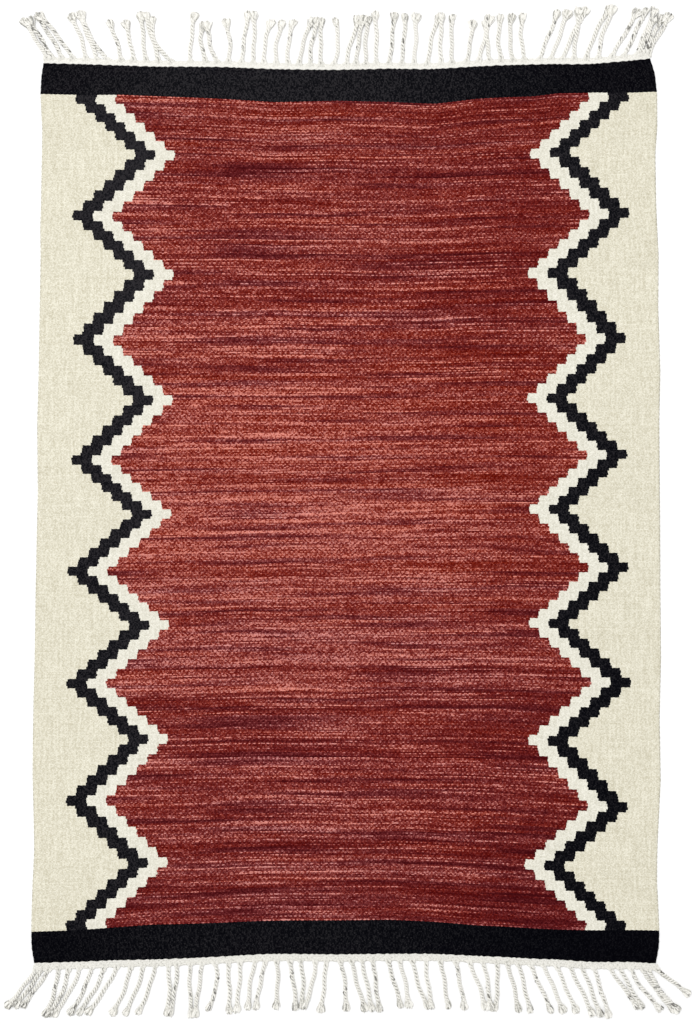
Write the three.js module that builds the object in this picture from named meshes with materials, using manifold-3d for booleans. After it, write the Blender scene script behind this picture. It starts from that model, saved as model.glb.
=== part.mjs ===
// A flat-woven wool kilim lying face up on a floor, with a fringe of twisted
// warp cords spread out at each end. Millimetres: +X runs across the width,
// +Y towards the far end, +Z up, and the floor is at z = 0.

import * as THREE from 'three';
import { mergeVertices } from 'three/addons/utils/BufferGeometryUtils.js';
import Module from 'manifold-3d';

// The woven cloth, from black band to black band
const CLOTH_WIDTH = 1400;
const CLOTH_LENGTH = 2000;
const CLOTH_THICKNESS = 4;

// The plain white heading that closes each end, and the cords that leave it
const HEADING_DEPTH = 12;
const SEAM_GAP = 0.3;
const CORD_WIDTH = 7;
const CORD_HEIGHT = 6;
const TUFT_WIDTH = 15;
const TUFT_LENGTH = 26;
const LEAN_POWER = 1.25;

// Points taken along the smooth edges
const END_STEPS = 24;
const SIDE_STEPS = 27;

// Side edges, from the far end (0) to the near end (1): how far each one
// stands out from half of the width. The cloth draws in at its corners.
const SIDE_SECTIONS = [
  { along: 0.0, left: -22, right: -19 },
  { along: 0.035, left: -15, right: -4 },
  { along: 0.16, left: -17, right: -6 },
  { along: 0.29, left: -13, right: 0 },
  { along: 0.43, left: -8, right: 2 },
  { along: 0.57, left: -3, right: 4 },
  { along: 0.71, left: 1, right: 3 },
  { along: 0.85, left: 2, right: 0 },
  { along: 0.965, left: 6, right: 1 },
  { along: 1.0, left: 1, right: -6 },
];

// End edges, from the left side (0) to the right side (1): how far each one
// stands out from half of the length. The weft sags in the middle of the cloth.
const END_SECTIONS = [
  { across: 0.0, far: 10, near: 10 },
  { across: 0.125, far: 1, near: 5 },
  { across: 0.25, far: -2, near: -1 },
  { across: 0.375, far: -6, near: -9 },
  { across: 0.5, far: -8, near: -10 },
  { across: 0.625, far: -7, near: -10 },
  { across: 0.75, far: 1, near: -5 },
  { across: 0.875, far: 6, near: 6 },
  { across: 1.0, far: 18, near: 14 },
];

// Cords of the far fringe in the groups they lie in, from left to right: where the
// first cord leaves the heading and how far apart the roots are, the same for the
// tips, the sideways bulge half-way, and the reach from the heading.
const FAR_GROUPS = [
  { cords: 2, root: -672, pitch: 13, tip: -731, tipPitch: 13, bow: -2, reach: 78 },
  { cords: 2, root: -639, pitch: 25, tip: -697, tipPitch: 9, bow: 0, reach: 96 },
  { cords: 3, root: -585, pitch: 25, tip: -621, tipPitch: 11, bow: 2, reach: 102 },
  { cords: 2, root: -506, pitch: 27, tip: -535, tipPitch: 36, bow: 1, reach: 90 },
  { cords: 3, root: -450, pitch: 29, tip: -459, tipPitch: 12, bow: -4, reach: 107 },
  { cords: 1, root: -351, pitch: 0, tip: -340, tipPitch: 0, bow: -3, reach: 110 },
  { cords: 2, root: -315, pitch: 25, tip: -322, tipPitch: 11, bow: -9, reach: 89 },
  { cords: 1, root: -266, pitch: 0, tip: -273, tipPitch: 0, bow: 6, reach: 96 },
  { cords: 2, root: -237, pitch: 27, tip: -221, tipPitch: 13, bow: 1, reach: 115 },
  { cords: 3, root: -185, pitch: 27, tip: -167, tipPitch: 25, bow: -6, reach: 98 },
  { cords: 3, root: -107, pitch: 25, tip: -75, tipPitch: 10, bow: -3, reach: 104 },
  { cords: 1, root: -30, pitch: 0, tip: -28, tipPitch: 0, bow: 10, reach: 103 },
  { cords: 3, root: -1, pitch: 22, tip: 30, tipPitch: 9, bow: -2, reach: 108 },
  { cords: 1, root: 66, pitch: 0, tip: 64, tipPitch: 0, bow: 1, reach: 118 },
  { cords: 3, root: 95, pitch: 28, tip: 107, tipPitch: 24, bow: 2, reach: 113 },
  { cords: 2, root: 181, pitch: 31, tip: 208, tipPitch: 5, bow: -2, reach: 113 },
  { cords: 1, root: 237, pitch: 0, tip: 239, tipPitch: 0, bow: -3, reach: 108 },
  { cords: 2, root: 268, pitch: 27, tip: 282, tipPitch: 34, bow: 4, reach: 94 },
  { cords: 4, root: 322, pitch: 26, tip: 322, tipPitch: 25, bow: -7, reach: 103 },
  { cords: 4, root: 432, pitch: 26, tip: 475, tipPitch: 23, bow: 3, reach: 110 },
  { cords: 2, root: 538, pitch: 27, tip: 594, tipPitch: 7, bow: -4, reach: 117 },
  { cords: 3, root: 594, pitch: 28, tip: 657, tipPitch: 18, bow: 3, reach: 106 },
  { cords: 2, root: 667, pitch: 8, tip: 708, tipPitch: 20, bow: 3, reach: 82 },
];

// Cords of the near fringe, told in the same way.
const NEAR_GROUPS = [
  { cords: 3, root: -695, pitch: 14, tip: -766, tipPitch: 18, bow: -2, reach: 86 },
  { cords: 3, root: -648, pitch: 24, tip: -679, tipPitch: 9, bow: 5, reach: 107 },
  { cords: 3, root: -571, pitch: 28, tip: -623, tipPitch: 19, bow: 2, reach: 107 },
  { cords: 3, root: -484, pitch: 27, tip: -529, tipPitch: 29, bow: 3, reach: 110 },
  { cords: 2, root: -401, pitch: 20, tip: -403, tipPitch: 5, bow: 3, reach: 114 },
  { cords: 2, root: -351, pitch: 27, tip: -349, tipPitch: 9, bow: -2, reach: 119 },
  { cords: 1, root: -297, pitch: 0, tip: -315, tipPitch: 0, bow: 12, reach: 106 },
  { cords: 2, root: -266, pitch: 27, tip: -264, tipPitch: 16, bow: 1, reach: 115 },
  { cords: 2, root: -205, pitch: 25, tip: -223, tipPitch: 18, bow: -4, reach: 110 },
  { cords: 2, root: -158, pitch: 29, tip: -160, tipPitch: 45, bow: 4, reach: 110 },
  { cords: 2, root: -104, pitch: 33, tip: -102, tipPitch: 5, bow: 5, reach: 107 },
  { cords: 1, root: -46, pitch: 0, tip: -60, tipPitch: 0, bow: 1, reach: 115 },
  { cords: 1, root: -15, pitch: 0, tip: -1, tipPitch: 0, bow: 5, reach: 112 },
  { cords: 3, root: 10, pitch: 24, tip: 42, tipPitch: 16, bow: 1, reach: 114 },
  { cords: 2, root: 91, pitch: 27, tip: 122, tipPitch: 20, bow: 3, reach: 108 },
  { cords: 2, root: 147, pitch: 31, tip: 183, tipPitch: 9, bow: -2, reach: 109 },
  { cords: 2, root: 210, pitch: 34, tip: 228, tipPitch: 38, bow: 2, reach: 108 },
  { cords: 3, root: 274, pitch: 31, tip: 313, tipPitch: 9, bow: 5, reach: 108 },
  { cords: 2, root: 360, pitch: 25, tip: 387, tipPitch: 25, bow: 3, reach: 109 },
  { cords: 3, root: 412, pitch: 29, tip: 461, tipPitch: 28, bow: 3, reach: 107 },
  { cords: 3, root: 500, pitch: 27, tip: 553, tipPitch: 18, bow: 4, reach: 111 },
  { cords: 2, root: 589, pitch: 22, tip: 657, tipPitch: 8, bow: 2, reach: 90 },
  { cords: 2, root: 637, pitch: 24, tip: 704, tipPitch: 28, bow: 2, reach: 94 },
  { cords: 2, root: 677, pitch: 11, tip: 751, tipPitch: 16, bow: 4, reach: 76 },
];

// Shares of a cord's reach where its outline is set out
const CORD_STATIONS = [0, 0.22, 0.44, 0.64, 0.8, 0.93, 1];

const wasm = await Module();
wasm.setup();

const woolRed = new THREE.MeshStandardMaterial({ color: 0x873c36, roughness: 0.95, metalness: 0 });
const cottonWhite = new THREE.MeshStandardMaterial({ color: 0xe6e3d8, roughness: 0.95, metalness: 0 });

// Corners of the cloth, and the smooth edges that run between them.
const HALF_WIDTH = CLOTH_WIDTH / 2;
const HALF_LENGTH = CLOTH_LENGTH / 2;

function endEdge(end) {
  const outward = end === 'far' ? 1 : -1;
  const sides = end === 'far' ? SIDE_SECTIONS[0] : SIDE_SECTIONS.at(-1);
  const points = END_SECTIONS.map((section) => {
    const x = THREE.MathUtils.lerp(-HALF_WIDTH - sides.left, HALF_WIDTH + sides.right, section.across);
    return new THREE.Vector2(x, outward * (HALF_LENGTH + section[end]));
  });
  return new THREE.SplineCurve(points);
}

function sideEdge(side) {
  const outward = side === 'right' ? 1 : -1;
  const ends = side === 'right' ? END_SECTIONS.at(-1) : END_SECTIONS[0];
  const points = SIDE_SECTIONS.map((section) => {
    const y = THREE.MathUtils.lerp(HALF_LENGTH + ends.far, -HALF_LENGTH - ends.near, section.along);
    return new THREE.Vector2(outward * (HALF_WIDTH + section[side]), y);
  });
  return new THREE.SplineCurve(points);
}

// A flat closed body of the given plan, standing on the floor.
function flatBody(points, height) {
  return new THREE.ExtrudeGeometry(new THREE.Shape(points), { depth: height, bevelEnabled: false });
}

function cloth() {
  const farPoints = endEdge('far').getPoints(END_STEPS);
  const rightPoints = sideEdge('right').getPoints(SIDE_STEPS);
  const nearPoints = endEdge('near').getPoints(END_STEPS);
  const leftPoints = sideEdge('left').getPoints(SIDE_STEPS);
  const outline = [
    ...leftPoints.reverse().slice(1),
    ...farPoints.slice(1),
    ...rightPoints.slice(1),
    ...nearPoints.reverse().slice(1),
  ];
  return flatBody(outline, CLOTH_THICKNESS);
}

// The heading strip lies against the cloth's end edge, a seam gap away from it.
function heading(end) {
  const outward = end === 'far' ? 1 : -1;
  const edge = endEdge(end).getPoints(END_STEPS);
  const inner = edge.map((p) => new THREE.Vector2(p.x, p.y + outward * SEAM_GAP));
  const outer = edge.map((p) => new THREE.Vector2(p.x, p.y + outward * (SEAM_GAP + HEADING_DEPTH)));
  return flatBody([...inner, ...outer.reverse()], CORD_HEIGHT);
}

// Every cord of a fringe, with its root and tip evenly spread through its group.
function cordsOf(groups) {
  return groups.flatMap(({ cords, root, pitch, tip, tipPitch, bow, reach }) =>
    Array.from({ length: cords }, (_, i) => ({
      root: root + i * pitch,
      lean: tip + i * tipPitch - root - i * pitch,
      bow,
      reach,
    })),
  );
}

// Half of the cord's width at a share of its reach: even, then opening into a tuft.
function cordHalfWidth(share, reach) {
  const tuftStart = 1 - TUFT_LENGTH / reach;
  const opening = THREE.MathUtils.smoothstep(share, tuftStart, 1);
  return THREE.MathUtils.lerp(CORD_WIDTH, TUFT_WIDTH, opening) / 2;
}

// A cord lies on the floor from the middle of the heading out to its tip.
function cordBody(root, outward, { lean, bow, reach }) {
  const line = CORD_STATIONS.map((share) => {
    const sideways = lean * share ** LEAN_POWER + bow * Math.sin(Math.PI * share);
    return new THREE.Vector2(root.x + sideways, root.y + outward * reach * share);
  });
  const leftSide = [];
  const rightSide = [];
  line.forEach((point, i) => {
    const before = line[Math.max(i - 1, 0)];
    const after = line[Math.min(i + 1, line.length - 1)];
    const along = after.clone().sub(before).normalize();
    const half = cordHalfWidth(CORD_STATIONS[i], reach);
    leftSide.push(new THREE.Vector2(point.x - along.y * half, point.y + along.x * half));
    rightSide.push(new THREE.Vector2(point.x + along.y * half, point.y - along.x * half));
  });
  return flatBody([...leftSide, ...rightSide.reverse()], CORD_HEIGHT);
}

function solidOf(geometry) {
  geometry.deleteAttribute('normal');
  geometry.deleteAttribute('uv');
  const merged = mergeVertices(geometry);
  const vertProperties = new Float32Array(merged.attributes.position.array);
  const triVerts = new Uint32Array(merged.index.array);
  return new wasm.Manifold(new wasm.Mesh({ numProp: 3, vertProperties, triVerts }));
}

function geometryOf(solid) {
  const mesh = solid.getMesh();
  const geometry = new THREE.BufferGeometry();
  geometry.setAttribute('position', new THREE.BufferAttribute(mesh.vertProperties, 3));
  geometry.setIndex(new THREE.BufferAttribute(mesh.triVerts, 1));
  geometry.computeVertexNormals();
  return geometry;
}

// A fringe is one comb: its heading is the spine and its cords are the teeth.
// Cords whose tufts lie on one another are joined there.
function fringe(end, groups) {
  const outward = end === 'far' ? 1 : -1;
  const edge = endEdge(end);
  const [first, last] = [edge.points[0].x, edge.points.at(-1).x];
  let comb = solidOf(heading(end));
  for (const cord of cordsOf(groups)) {
    const across = (cord.root - first) / (last - first);
    const rootY = edge.getPoint(across).y + outward * (SEAM_GAP + HEADING_DEPTH / 2);
    const root = new THREE.Vector2(cord.root, rootY);
    const fromHeading = { ...cord, reach: cord.reach + HEADING_DEPTH / 2 };
    comb = comb.add(solidOf(cordBody(root, outward, fromHeading)));
  }
  return geometryOf(comb);
}

function named(name, geometry, material) {
  const mesh = new THREE.Mesh(geometry, material);
  mesh.name = name;
  return mesh;
}

const kilim = new THREE.Group();
kilim.add(named('cloth', cloth(), woolRed));
kilim.add(named('fringe_far', fringe('far', FAR_GROUPS), cottonWhite));
kilim.add(named('fringe_near', fringe('near', NEAR_GROUPS), cottonWhite));

// The origin is on the floor under the middle of the whole kilim, fringes included.
const middle = new THREE.Box3().setFromObject(kilim).getCenter(new THREE.Vector3());
kilim.position.set(-middle.x, -middle.y, 0);

export default kilim;
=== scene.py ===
import math
from functools import partial

import bpy
import numpy as np
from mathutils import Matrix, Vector


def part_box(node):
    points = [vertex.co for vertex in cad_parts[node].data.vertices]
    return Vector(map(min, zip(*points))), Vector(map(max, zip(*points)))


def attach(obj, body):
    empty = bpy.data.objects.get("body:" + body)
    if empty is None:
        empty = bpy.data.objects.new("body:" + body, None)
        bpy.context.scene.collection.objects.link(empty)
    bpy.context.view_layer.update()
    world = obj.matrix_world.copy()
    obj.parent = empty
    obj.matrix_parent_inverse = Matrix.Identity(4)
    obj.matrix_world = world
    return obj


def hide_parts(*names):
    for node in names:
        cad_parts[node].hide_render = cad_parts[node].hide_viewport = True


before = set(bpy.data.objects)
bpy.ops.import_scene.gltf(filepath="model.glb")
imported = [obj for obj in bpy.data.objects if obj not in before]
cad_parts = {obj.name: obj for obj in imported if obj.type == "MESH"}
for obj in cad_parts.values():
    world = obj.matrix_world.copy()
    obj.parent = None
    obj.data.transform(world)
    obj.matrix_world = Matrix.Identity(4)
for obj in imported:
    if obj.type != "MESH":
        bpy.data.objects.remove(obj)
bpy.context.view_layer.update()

# Woven cloth
# One weft-faced flat weave: thick wool wefts, each of two strands, are beaten down to hide the warps.
# The black end bands, cream sides, black zigzags and streaked red field are all woven in, counted in rows
# of picks and in steps of warps, and at the sides each weft turns round the last warp.

WARPS = 265
PICKS_PER_ROW = 4
STRANDS_PER_WEFT = 2
ROWS = 85
FAR_BAND_PICKS = 11
NEAR_BAND_PICKS = 10
PICKS = FAR_BAND_PICKS + ROWS * PICKS_PER_ROW + NEAR_BAND_PICKS
FIRST_ROW = -FAR_BAND_PICKS / PICKS_PER_ROW
LAST_ROW = ROWS + NEAR_BAND_PICKS / PICKS_PER_ROW
CLOTH_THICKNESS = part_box("cloth")[1].z
CRIMP = 0.00045
CRIMP_UNEVENNESS = 0.00025
RIPPLE = 0.0012
RIM_INSET = 0.0018
WEFT_TURN = 0.0007
UNDERSIDE_STEP = 8
END_DEPTH = 0.04
END_WAVE = 0.0009
FLOOR_GAP = 0.0002
BAKE_MARGIN = 0.005
BAKE_TOP_SHARE = 0.7

# Stepped zigzag, by the count of rows from the far band's edge: for the left and the right side, how far
# that row lies from the far corner and the cream margin outside the black, in mm.
STEP_WIDTH = 0.0229
MM = 0.001
ZIGZAG_TIPS = np.array([
    # rows, left place, left margin, right place, right margin
    (0.0, 68, 77, 67, 62), (6.5, 200, 72, 198, 56),
    (12.5, 341, 68, 343, 59), (18.5, 470, 70, 472, 63),
    (24.5, 621, 74, 625, 73), (30.5, 756, 73, 758, 69),
    (36.5, 893, 75, 886, 72), (42.5, 1016, 75, 1008, 66),
    (48.5, 1143, 70, 1141, 71), (54.5, 1265, 74, 1270, 68),
    (60.5, 1396, 71, 1401, 64), (66.5, 1521, 74, 1539, 67),
    (72.5, 1658, 72, 1684, 69), (78.5, 1806, 75, 1820, 74),
    (84.5, 1939, 75, 1951, 73), (85.0, 1950, 75, 1961, 73),
])

# How far the wefts sag towards the near end, by the share across, in mm: at the two ends and at the inner
# edges of the end bands. The sag fades out over the rows beside the bands.
SAG_ROWS = 12
WEFT_SAG = np.array([
    # share across, far end, far band's edge, near band's edge, near end
    (0.00, 2, 4, 2, 3), (0.07, -1, 1, 1, 3), (0.13, -2, -3, -3, 2),
    (0.19, -1, -1, -7, 3), (0.30, -3, 3, -5, 3), (0.38, -1, 8, -5, 2),
    (0.48, -1, 3, -5, 4), (0.57, -4, 6, -6, 3), (0.64, -1, 12, -2, 2),
    (0.71, -2, 5, 4, 4), (0.80, -2, 4, 5, 4), (0.84, -2, -2, 4, 2),
    (0.90, 2, 0, 1, 3), (0.96, 1, 6, -3, -1), (1.00, 0, 8, -4, 0),
])

# How far the sides of the hand-woven cloth stand out from their smooth line, by the count of rows, in mm
SIDE_WAVES = np.array([
    # rows, left, right
    (-2.7, 2, 0), (0, 2, 1), (4, -2, 1), (7, 0, -2), (14, 4, 2), (17, 2, 4),
    (22, 2, 0), (28, 2, 3), (33, 3, 0), (40, -1, 0), (50, 0, 0), (58, 0, 2),
    (64, 2, 0), (70, 3, 4), (77, -2, -3), (80, 0, -4), (86, 2, 2), (87.5, 0, 0),
])
WEFT_WANDER = 0.0014
FIELD_EDGE = (0.20, 0.34)


def plan_edges(node):
    """The far, near, left and right edges of a flat node's plan, as points in order along each."""
    corners = np.array([vertex.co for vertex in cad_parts[node].data.vertices])
    plan = np.unique(corners[:, :2].round(6), axis=0)
    x, y = plan.T
    far_left, far_right = (plan[np.argmax(y + side * x)] for side in (-1, 1))
    near_left, near_right = (plan[np.argmin(y - side * x)] for side in (-1, 1))
    far_limit = min(far_left[1], far_right[1]) - END_DEPTH
    near_limit = max(near_left[1], near_right[1]) + END_DEPTH
    is_far = (x >= far_left[0]) & (x <= far_right[0]) & (y > far_limit)
    is_near = (x >= near_left[0]) & (x <= near_right[0]) & (y < near_limit)
    between = plan[~is_far & ~is_near]
    left = np.vstack([far_left, between[between[:, 0] < 0], near_left])
    right = np.vstack([far_right, between[between[:, 0] > 0], near_right])
    far, near = (edge[np.argsort(edge[:, 0])] for edge in (plan[is_far], plan[is_near]))
    left, right = (edge[np.argsort(-edge[:, 1])] for edge in (left, right))
    return far, near, left, right


FAR_EDGE, NEAR_EDGE, LEFT_EDGE, RIGHT_EDGE = plan_edges("cloth")


def lerp(start, end, share):
    return start + (end - start) * share


def end_y(edge, across):
    """Place along the length of an end edge, at shares across the width."""
    return np.interp(lerp(edge[0, 0], edge[-1, 0], across), edge[:, 0], edge[:, 1])


def side_length(edge):
    return edge[0, 1] - edge[-1, 1]


def side_x(edge, share):
    """Place across the width of a side edge, at shares of the length from the far end."""
    return np.interp(share * side_length(edge), edge[0, 1] - edge[:, 1], edge[:, 0])


def side_share(edge, row, places):
    """How far along a side edge a row lies, as a share, with the places of the zigzag's tips in mm."""
    rows = [FIRST_ROW, *ZIGZAG_TIPS[:, 0], LAST_ROW]
    return np.interp(row, rows, [0, *places * MM, side_length(edge)]) / side_length(edge)


def weft_sag(across, row):
    """How far a weft lies towards the near end from its even place, at shares across and rows."""
    rows = [FIRST_ROW, 0, SAG_ROWS, ROWS - SAG_ROWS, ROWS, LAST_ROW]
    sag = np.zeros(len(row))
    for number, column in ((0, 1), (1, 2), (4, 3), (5, 4)):
        part = np.interp(row, rows, np.eye(len(rows))[number])
        sag += part * np.interp(across, WEFT_SAG[:, 0], WEFT_SAG[:, column]) * MM
    wave = np.sin(520 * across + 2.0 * np.sin(97 * across))
    return sag + END_WAVE * wave * np.interp(row, [FIRST_ROW, 0, ROWS, LAST_ROW], [1, 0, 0, 1])


def smooth_share(value, start, end):
    """From 0 at the start to 1 at the end, easing at both."""
    share = np.clip((value - start) / (end - start), 0, 1)
    return share * share * (3 - 2 * share)


def weft_wander(across, row):
    """How far a weft of the field strays from its even place, in slow bends that shift from row to row."""
    long_bend = np.sin(23 * across + 0.31 * row + 2.1 * np.sin(9 * across + 0.17 * row))
    short_bend = np.sin(41 * across - 0.53 * row + 1.0)
    in_field = smooth_share(np.minimum(across, 1 - across), *FIELD_EDGE)
    in_field = in_field * smooth_share(np.minimum(row, ROWS - row), 0, SAG_ROWS)
    return WEFT_WANDER * in_field * (0.6 * long_bend + 0.4 * short_bend)


def woven_place(across, pick):
    """Plan place of a share across and a count of picks, and how many steps in from the zigzag's tips."""
    row = (pick - FAR_BAND_PICKS) / PICKS_PER_ROW
    tip_rows, left_places, left_margins, right_places, right_margins = ZIGZAG_TIPS.T
    left_share = side_share(LEFT_EDGE, row, left_places)
    right_share = side_share(RIGHT_EDGE, row, right_places)
    left_margin, right_margin = (np.interp(row, tip_rows, m) * MM for m in (left_margins, right_margins))
    share = lerp(left_share, right_share, across)
    left, right = side_x(LEFT_EDGE, share), side_x(RIGHT_EDGE, share)
    left_wave, right_wave = (np.interp(row, SIDE_WAVES[:, 0], SIDE_WAVES[:, side]) * MM for side in (1, 2))
    x = lerp(left - left_wave, right + right_wave, across)
    even_y = lerp(end_y(FAR_EDGE, across), end_y(NEAR_EDGE, across), share)
    y = even_y - weft_sag(across, row) - weft_wander(across, row)
    steps_in = np.minimum(x - left - left_margin, right - x - right_margin) / STEP_WIDTH
    return x, y, steps_in


def ripple(x, y):
    """How far the laid cloth stands off the floor, in low waves that a person would hardly see."""
    lengthwise = np.sin(9.3 * x + 1.7 * np.sin(2.9 * y + 0.6))
    crosswise = np.sin(6.1 * y + 1.3 * np.sin(3.7 * x - 1.1))
    return RIPPLE * (0.5 + 0.25 * (lengthwise + crosswise))


def around(rows, columns):
    """Places on the rim of a grid, clockwise from its far left corner, as row and column numbers."""
    far = [(0, column) for column in range(columns - 1)]
    right = [(row, columns - 1) for row in range(rows - 1)]
    near = [(rows - 1, column) for column in range(columns - 1, 0, -1)]
    left = [(row, 0) for row in range(rows - 1, 0, -1)]
    return np.array(far + right + near + left).T


def face_triangles(rows, columns, high):
    """Triangles of a grid that faces up, each square cut between its two low corners."""
    row, column = np.meshgrid(np.arange(rows - 1), np.arange(columns - 1), indexing="ij")
    first = (row * columns + column).ravel()
    far_left, far_right, near_left, near_right = first, first + 1, first + columns, first + columns + 1
    cut_left = high[:-1, :-1].ravel()
    one = np.where(cut_left, [far_left, near_left, far_right], [far_left, near_left, near_right])
    two = np.where(cut_left, [near_left, near_right, far_right], [far_left, near_right, far_right])
    return np.vstack([one.T, two.T])


def name_values(mesh, values):
    """Keeps values at a mesh's points under their names."""
    for name, numbers in values.items():
        attribute = mesh.attributes.new(name, "FLOAT", "POINT")
        attribute.data.foreach_set("value", numbers.astype(np.float32))


def add_object(name, data):
    """A new object in the scene."""
    thing = bpy.data.objects.new(name, data)
    bpy.context.scene.collection.objects.link(thing)
    return thing


def smooth_cloth():
    """Closed mesh of the cloth before its wefts are crimped: a face, a rounded rim and an underside."""
    pick, warp = np.meshgrid(np.arange(PICKS), np.arange(WARPS), indexing="ij")
    across, count = (warp + 0.5) / WARPS, pick + 0.5

    rim_pick, rim_warp = around(PICKS, WARPS)
    rim_across = np.select([rim_warp == 0, rim_warp == WARPS - 1], [0, 1], (rim_warp + 0.5) / WARPS)
    rim_count = np.select([rim_pick == 0, rim_pick == PICKS - 1], [0, PICKS], rim_pick + 0.5)
    turn_side = np.select([rim_across == 0, rim_across == 1], [-1, 1])
    rim_turn = np.where(rim_pick % 2 == 0, WEFT_TURN, 0) * turn_side

    under_rows, under_columns = ((n - 1) // UNDERSIDE_STEP + 1 for n in (PICKS, WARPS))
    inset_across = RIM_INSET / (RIGHT_EDGE[0, 0] - LEFT_EDGE[0, 0])
    inset_count = RIM_INSET / (FAR_EDGE[0, 1] - NEAR_EDGE[0, 1]) * PICKS
    under_count, under_across = np.meshgrid(
        np.linspace(inset_count, PICKS - inset_count, under_rows),
        np.linspace(inset_across, 1 - inset_across, under_columns),
        indexing="ij",
    )

    all_across = np.concatenate([across.ravel(), rim_across, under_across.ravel()])
    all_count = np.concatenate([count.ravel(), rim_count, under_count.ravel()])
    x, y, steps_in = woven_place(all_across, all_count)
    level = np.concatenate([
        np.full(across.size, CLOTH_THICKNESS - CRIMP),
        np.full(len(rim_across), CLOTH_THICKNESS / 2),
        np.zeros(under_across.size),
    ])
    z = FLOOR_GAP + ripple(x, y) + level
    first_rim = across.size
    first_under = first_rim + len(rim_across)
    x[first_rim:first_under] += rim_turn

    top = face_triangles(PICKS, WARPS, (pick + warp) % 2 == 0)
    edge = rim_pick * WARPS + rim_warp
    rim = first_rim + np.arange(len(edge))
    next_edge, next_rim = np.roll(edge, -1), np.roll(rim, -1)
    upper = np.vstack([np.array([edge, next_edge, next_rim]).T, np.array([edge, next_rim, rim]).T])

    hem_row, hem_column = around(under_rows, under_columns)
    hem = first_under + hem_row * under_columns + hem_column
    half = UNDERSIDE_STEP // 2
    nearest = np.repeat(hem, UNDERSIDE_STEP)
    before_half = np.arange(len(rim)) % UNDERSIDE_STEP < half
    nearest = np.where(before_half, nearest, np.roll(nearest, -UNDERSIDE_STEP))
    lower = np.array([rim, next_rim, nearest]).T
    joins = np.array([hem, rim[half::UNDERSIDE_STEP], np.roll(hem, -1)]).T
    flat = np.zeros((under_rows, under_columns), bool)
    under = first_under + face_triangles(under_rows, under_columns, flat)[:, ::-1]

    triangles = np.vstack([top, upper, lower, joins, under])
    mesh = bpy.data.meshes.new("woven_cloth")
    mesh.from_pydata(np.array([x, y, z]).T.tolist(), [], triangles.tolist())

    on_face = np.arange(len(x)) < first_rim
    swing = np.where(on_face, np.cos(np.pi * (all_across * WARPS - 0.5 + all_count - 0.5)), 0)
    name_values(mesh, {"steps_in": steps_in, "swing": swing, "on_face": on_face})
    corner = triangles.ravel()
    is_top = np.repeat(np.arange(len(triangles)) < len(top) + len(upper), 3)
    weave = np.array([all_across[corner] * WARPS - 0.5, all_count[corner]]).T
    bake_start = np.where(is_top, 0, BAKE_TOP_SHARE) + BAKE_MARGIN
    bake_end = np.where(is_top, BAKE_TOP_SHARE, 1) - BAKE_MARGIN
    bake_across = lerp(bake_start, bake_end, all_across[corner])
    bake_along = lerp(1 - BAKE_MARGIN, BAKE_MARGIN, all_count[corner] / PICKS)
    bake = np.array([bake_across, bake_along]).T
    for name, places in (("OFBake", bake), ("weave", weave)):
        mesh.uv_layers.new(name=name).data.foreach_set("uv", places.astype(np.float32).ravel())
    return add_object("woven_cloth", mesh)


def feed(tree, socket, value):
    """Links an output to the input, or sets the input to a plain value."""
    if isinstance(value, bpy.types.NodeSocket):
        tree.links.new(value, socket)
    else:
        socket.default_value = value


def feed_all(tree, sockets, feeds):
    """Feeds inputs by name or number."""
    for name, value in feeds.items():
        feed(tree, sockets[name], value)


def place(tree, kind, feeds=None, **settings):
    """Adds a node with its settings, and feeds its inputs by name or number."""
    node = tree.nodes.new(kind)
    for name, value in settings.items():
        setattr(node, name, value)
    feed_all(tree, node.inputs, feeds or {})
    return node


def apply(tree, kind, feeds=None, **settings):
    """Adds such a node, and returns its first output."""
    return place(tree, kind, feeds, **settings).outputs[0]


def calc(operation, tree, *values):
    """One step of arithmetic on sockets and numbers."""
    return apply(tree, "ShaderNodeMath", dict(enumerate(values)), operation=operation)


plus, minus, times, over, times_plus = (
    partial(calc, operation) for operation in ("ADD", "SUBTRACT", "MULTIPLY", "DIVIDE", "MULTIPLY_ADD")
)


def new_group(name, kind, inputs, outputs):
    """An empty node group with named sockets, listed by type, and those sockets as seen inside it."""
    group = bpy.data.node_groups.new(name, kind)
    for direction, sockets in (("INPUT", inputs), ("OUTPUT", outputs)):
        for value_type, socket_names in sockets.items():
            socket_type = "NodeSocket" + value_type
            for socket_name in socket_names:
                group.interface.new_socket(socket_name, in_out=direction, socket_type=socket_type)
    return group, group.nodes.new("NodeGroupInput").outputs, group.nodes.new("NodeGroupOutput").inputs


def point_value(tree, name, kind="FLOAT"):
    """A named value of the points."""
    return apply(tree, "GeometryNodeInputNamedAttribute", {"Name": name}, data_type=kind)


def chance(tree, low, high, number, seed):
    """An even random value between two limits for each number."""
    feeds = {"ID": number, "Seed": seed, 2: low, 3: high}
    return place(tree, "FunctionNodeRandomValue", feeds, data_type="FLOAT").outputs[1]


def move(tree, geometry, offset):
    """Moves every point by its own offset."""
    return apply(tree, "GeometryNodeSetPosition", {"Geometry": geometry, "Offset": offset})


def vector(tree, **parts):
    """A vector with the parts that are given, and 0 for the others."""
    return apply(tree, "ShaderNodeCombineXYZ", parts)


def finish_tree(tree, geometry, material, made):
    """Smooth shading, real instances and the material, as the last steps of a tree."""
    smooth = apply(tree, "GeometryNodeSetShadeSmooth", {"Geometry": geometry})
    real = apply(tree, "GeometryNodeRealizeInstances", {"Geometry": smooth})
    feed(tree, made, apply(tree, "GeometryNodeSetMaterial", {"Geometry": real, "Material": material}))


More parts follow.
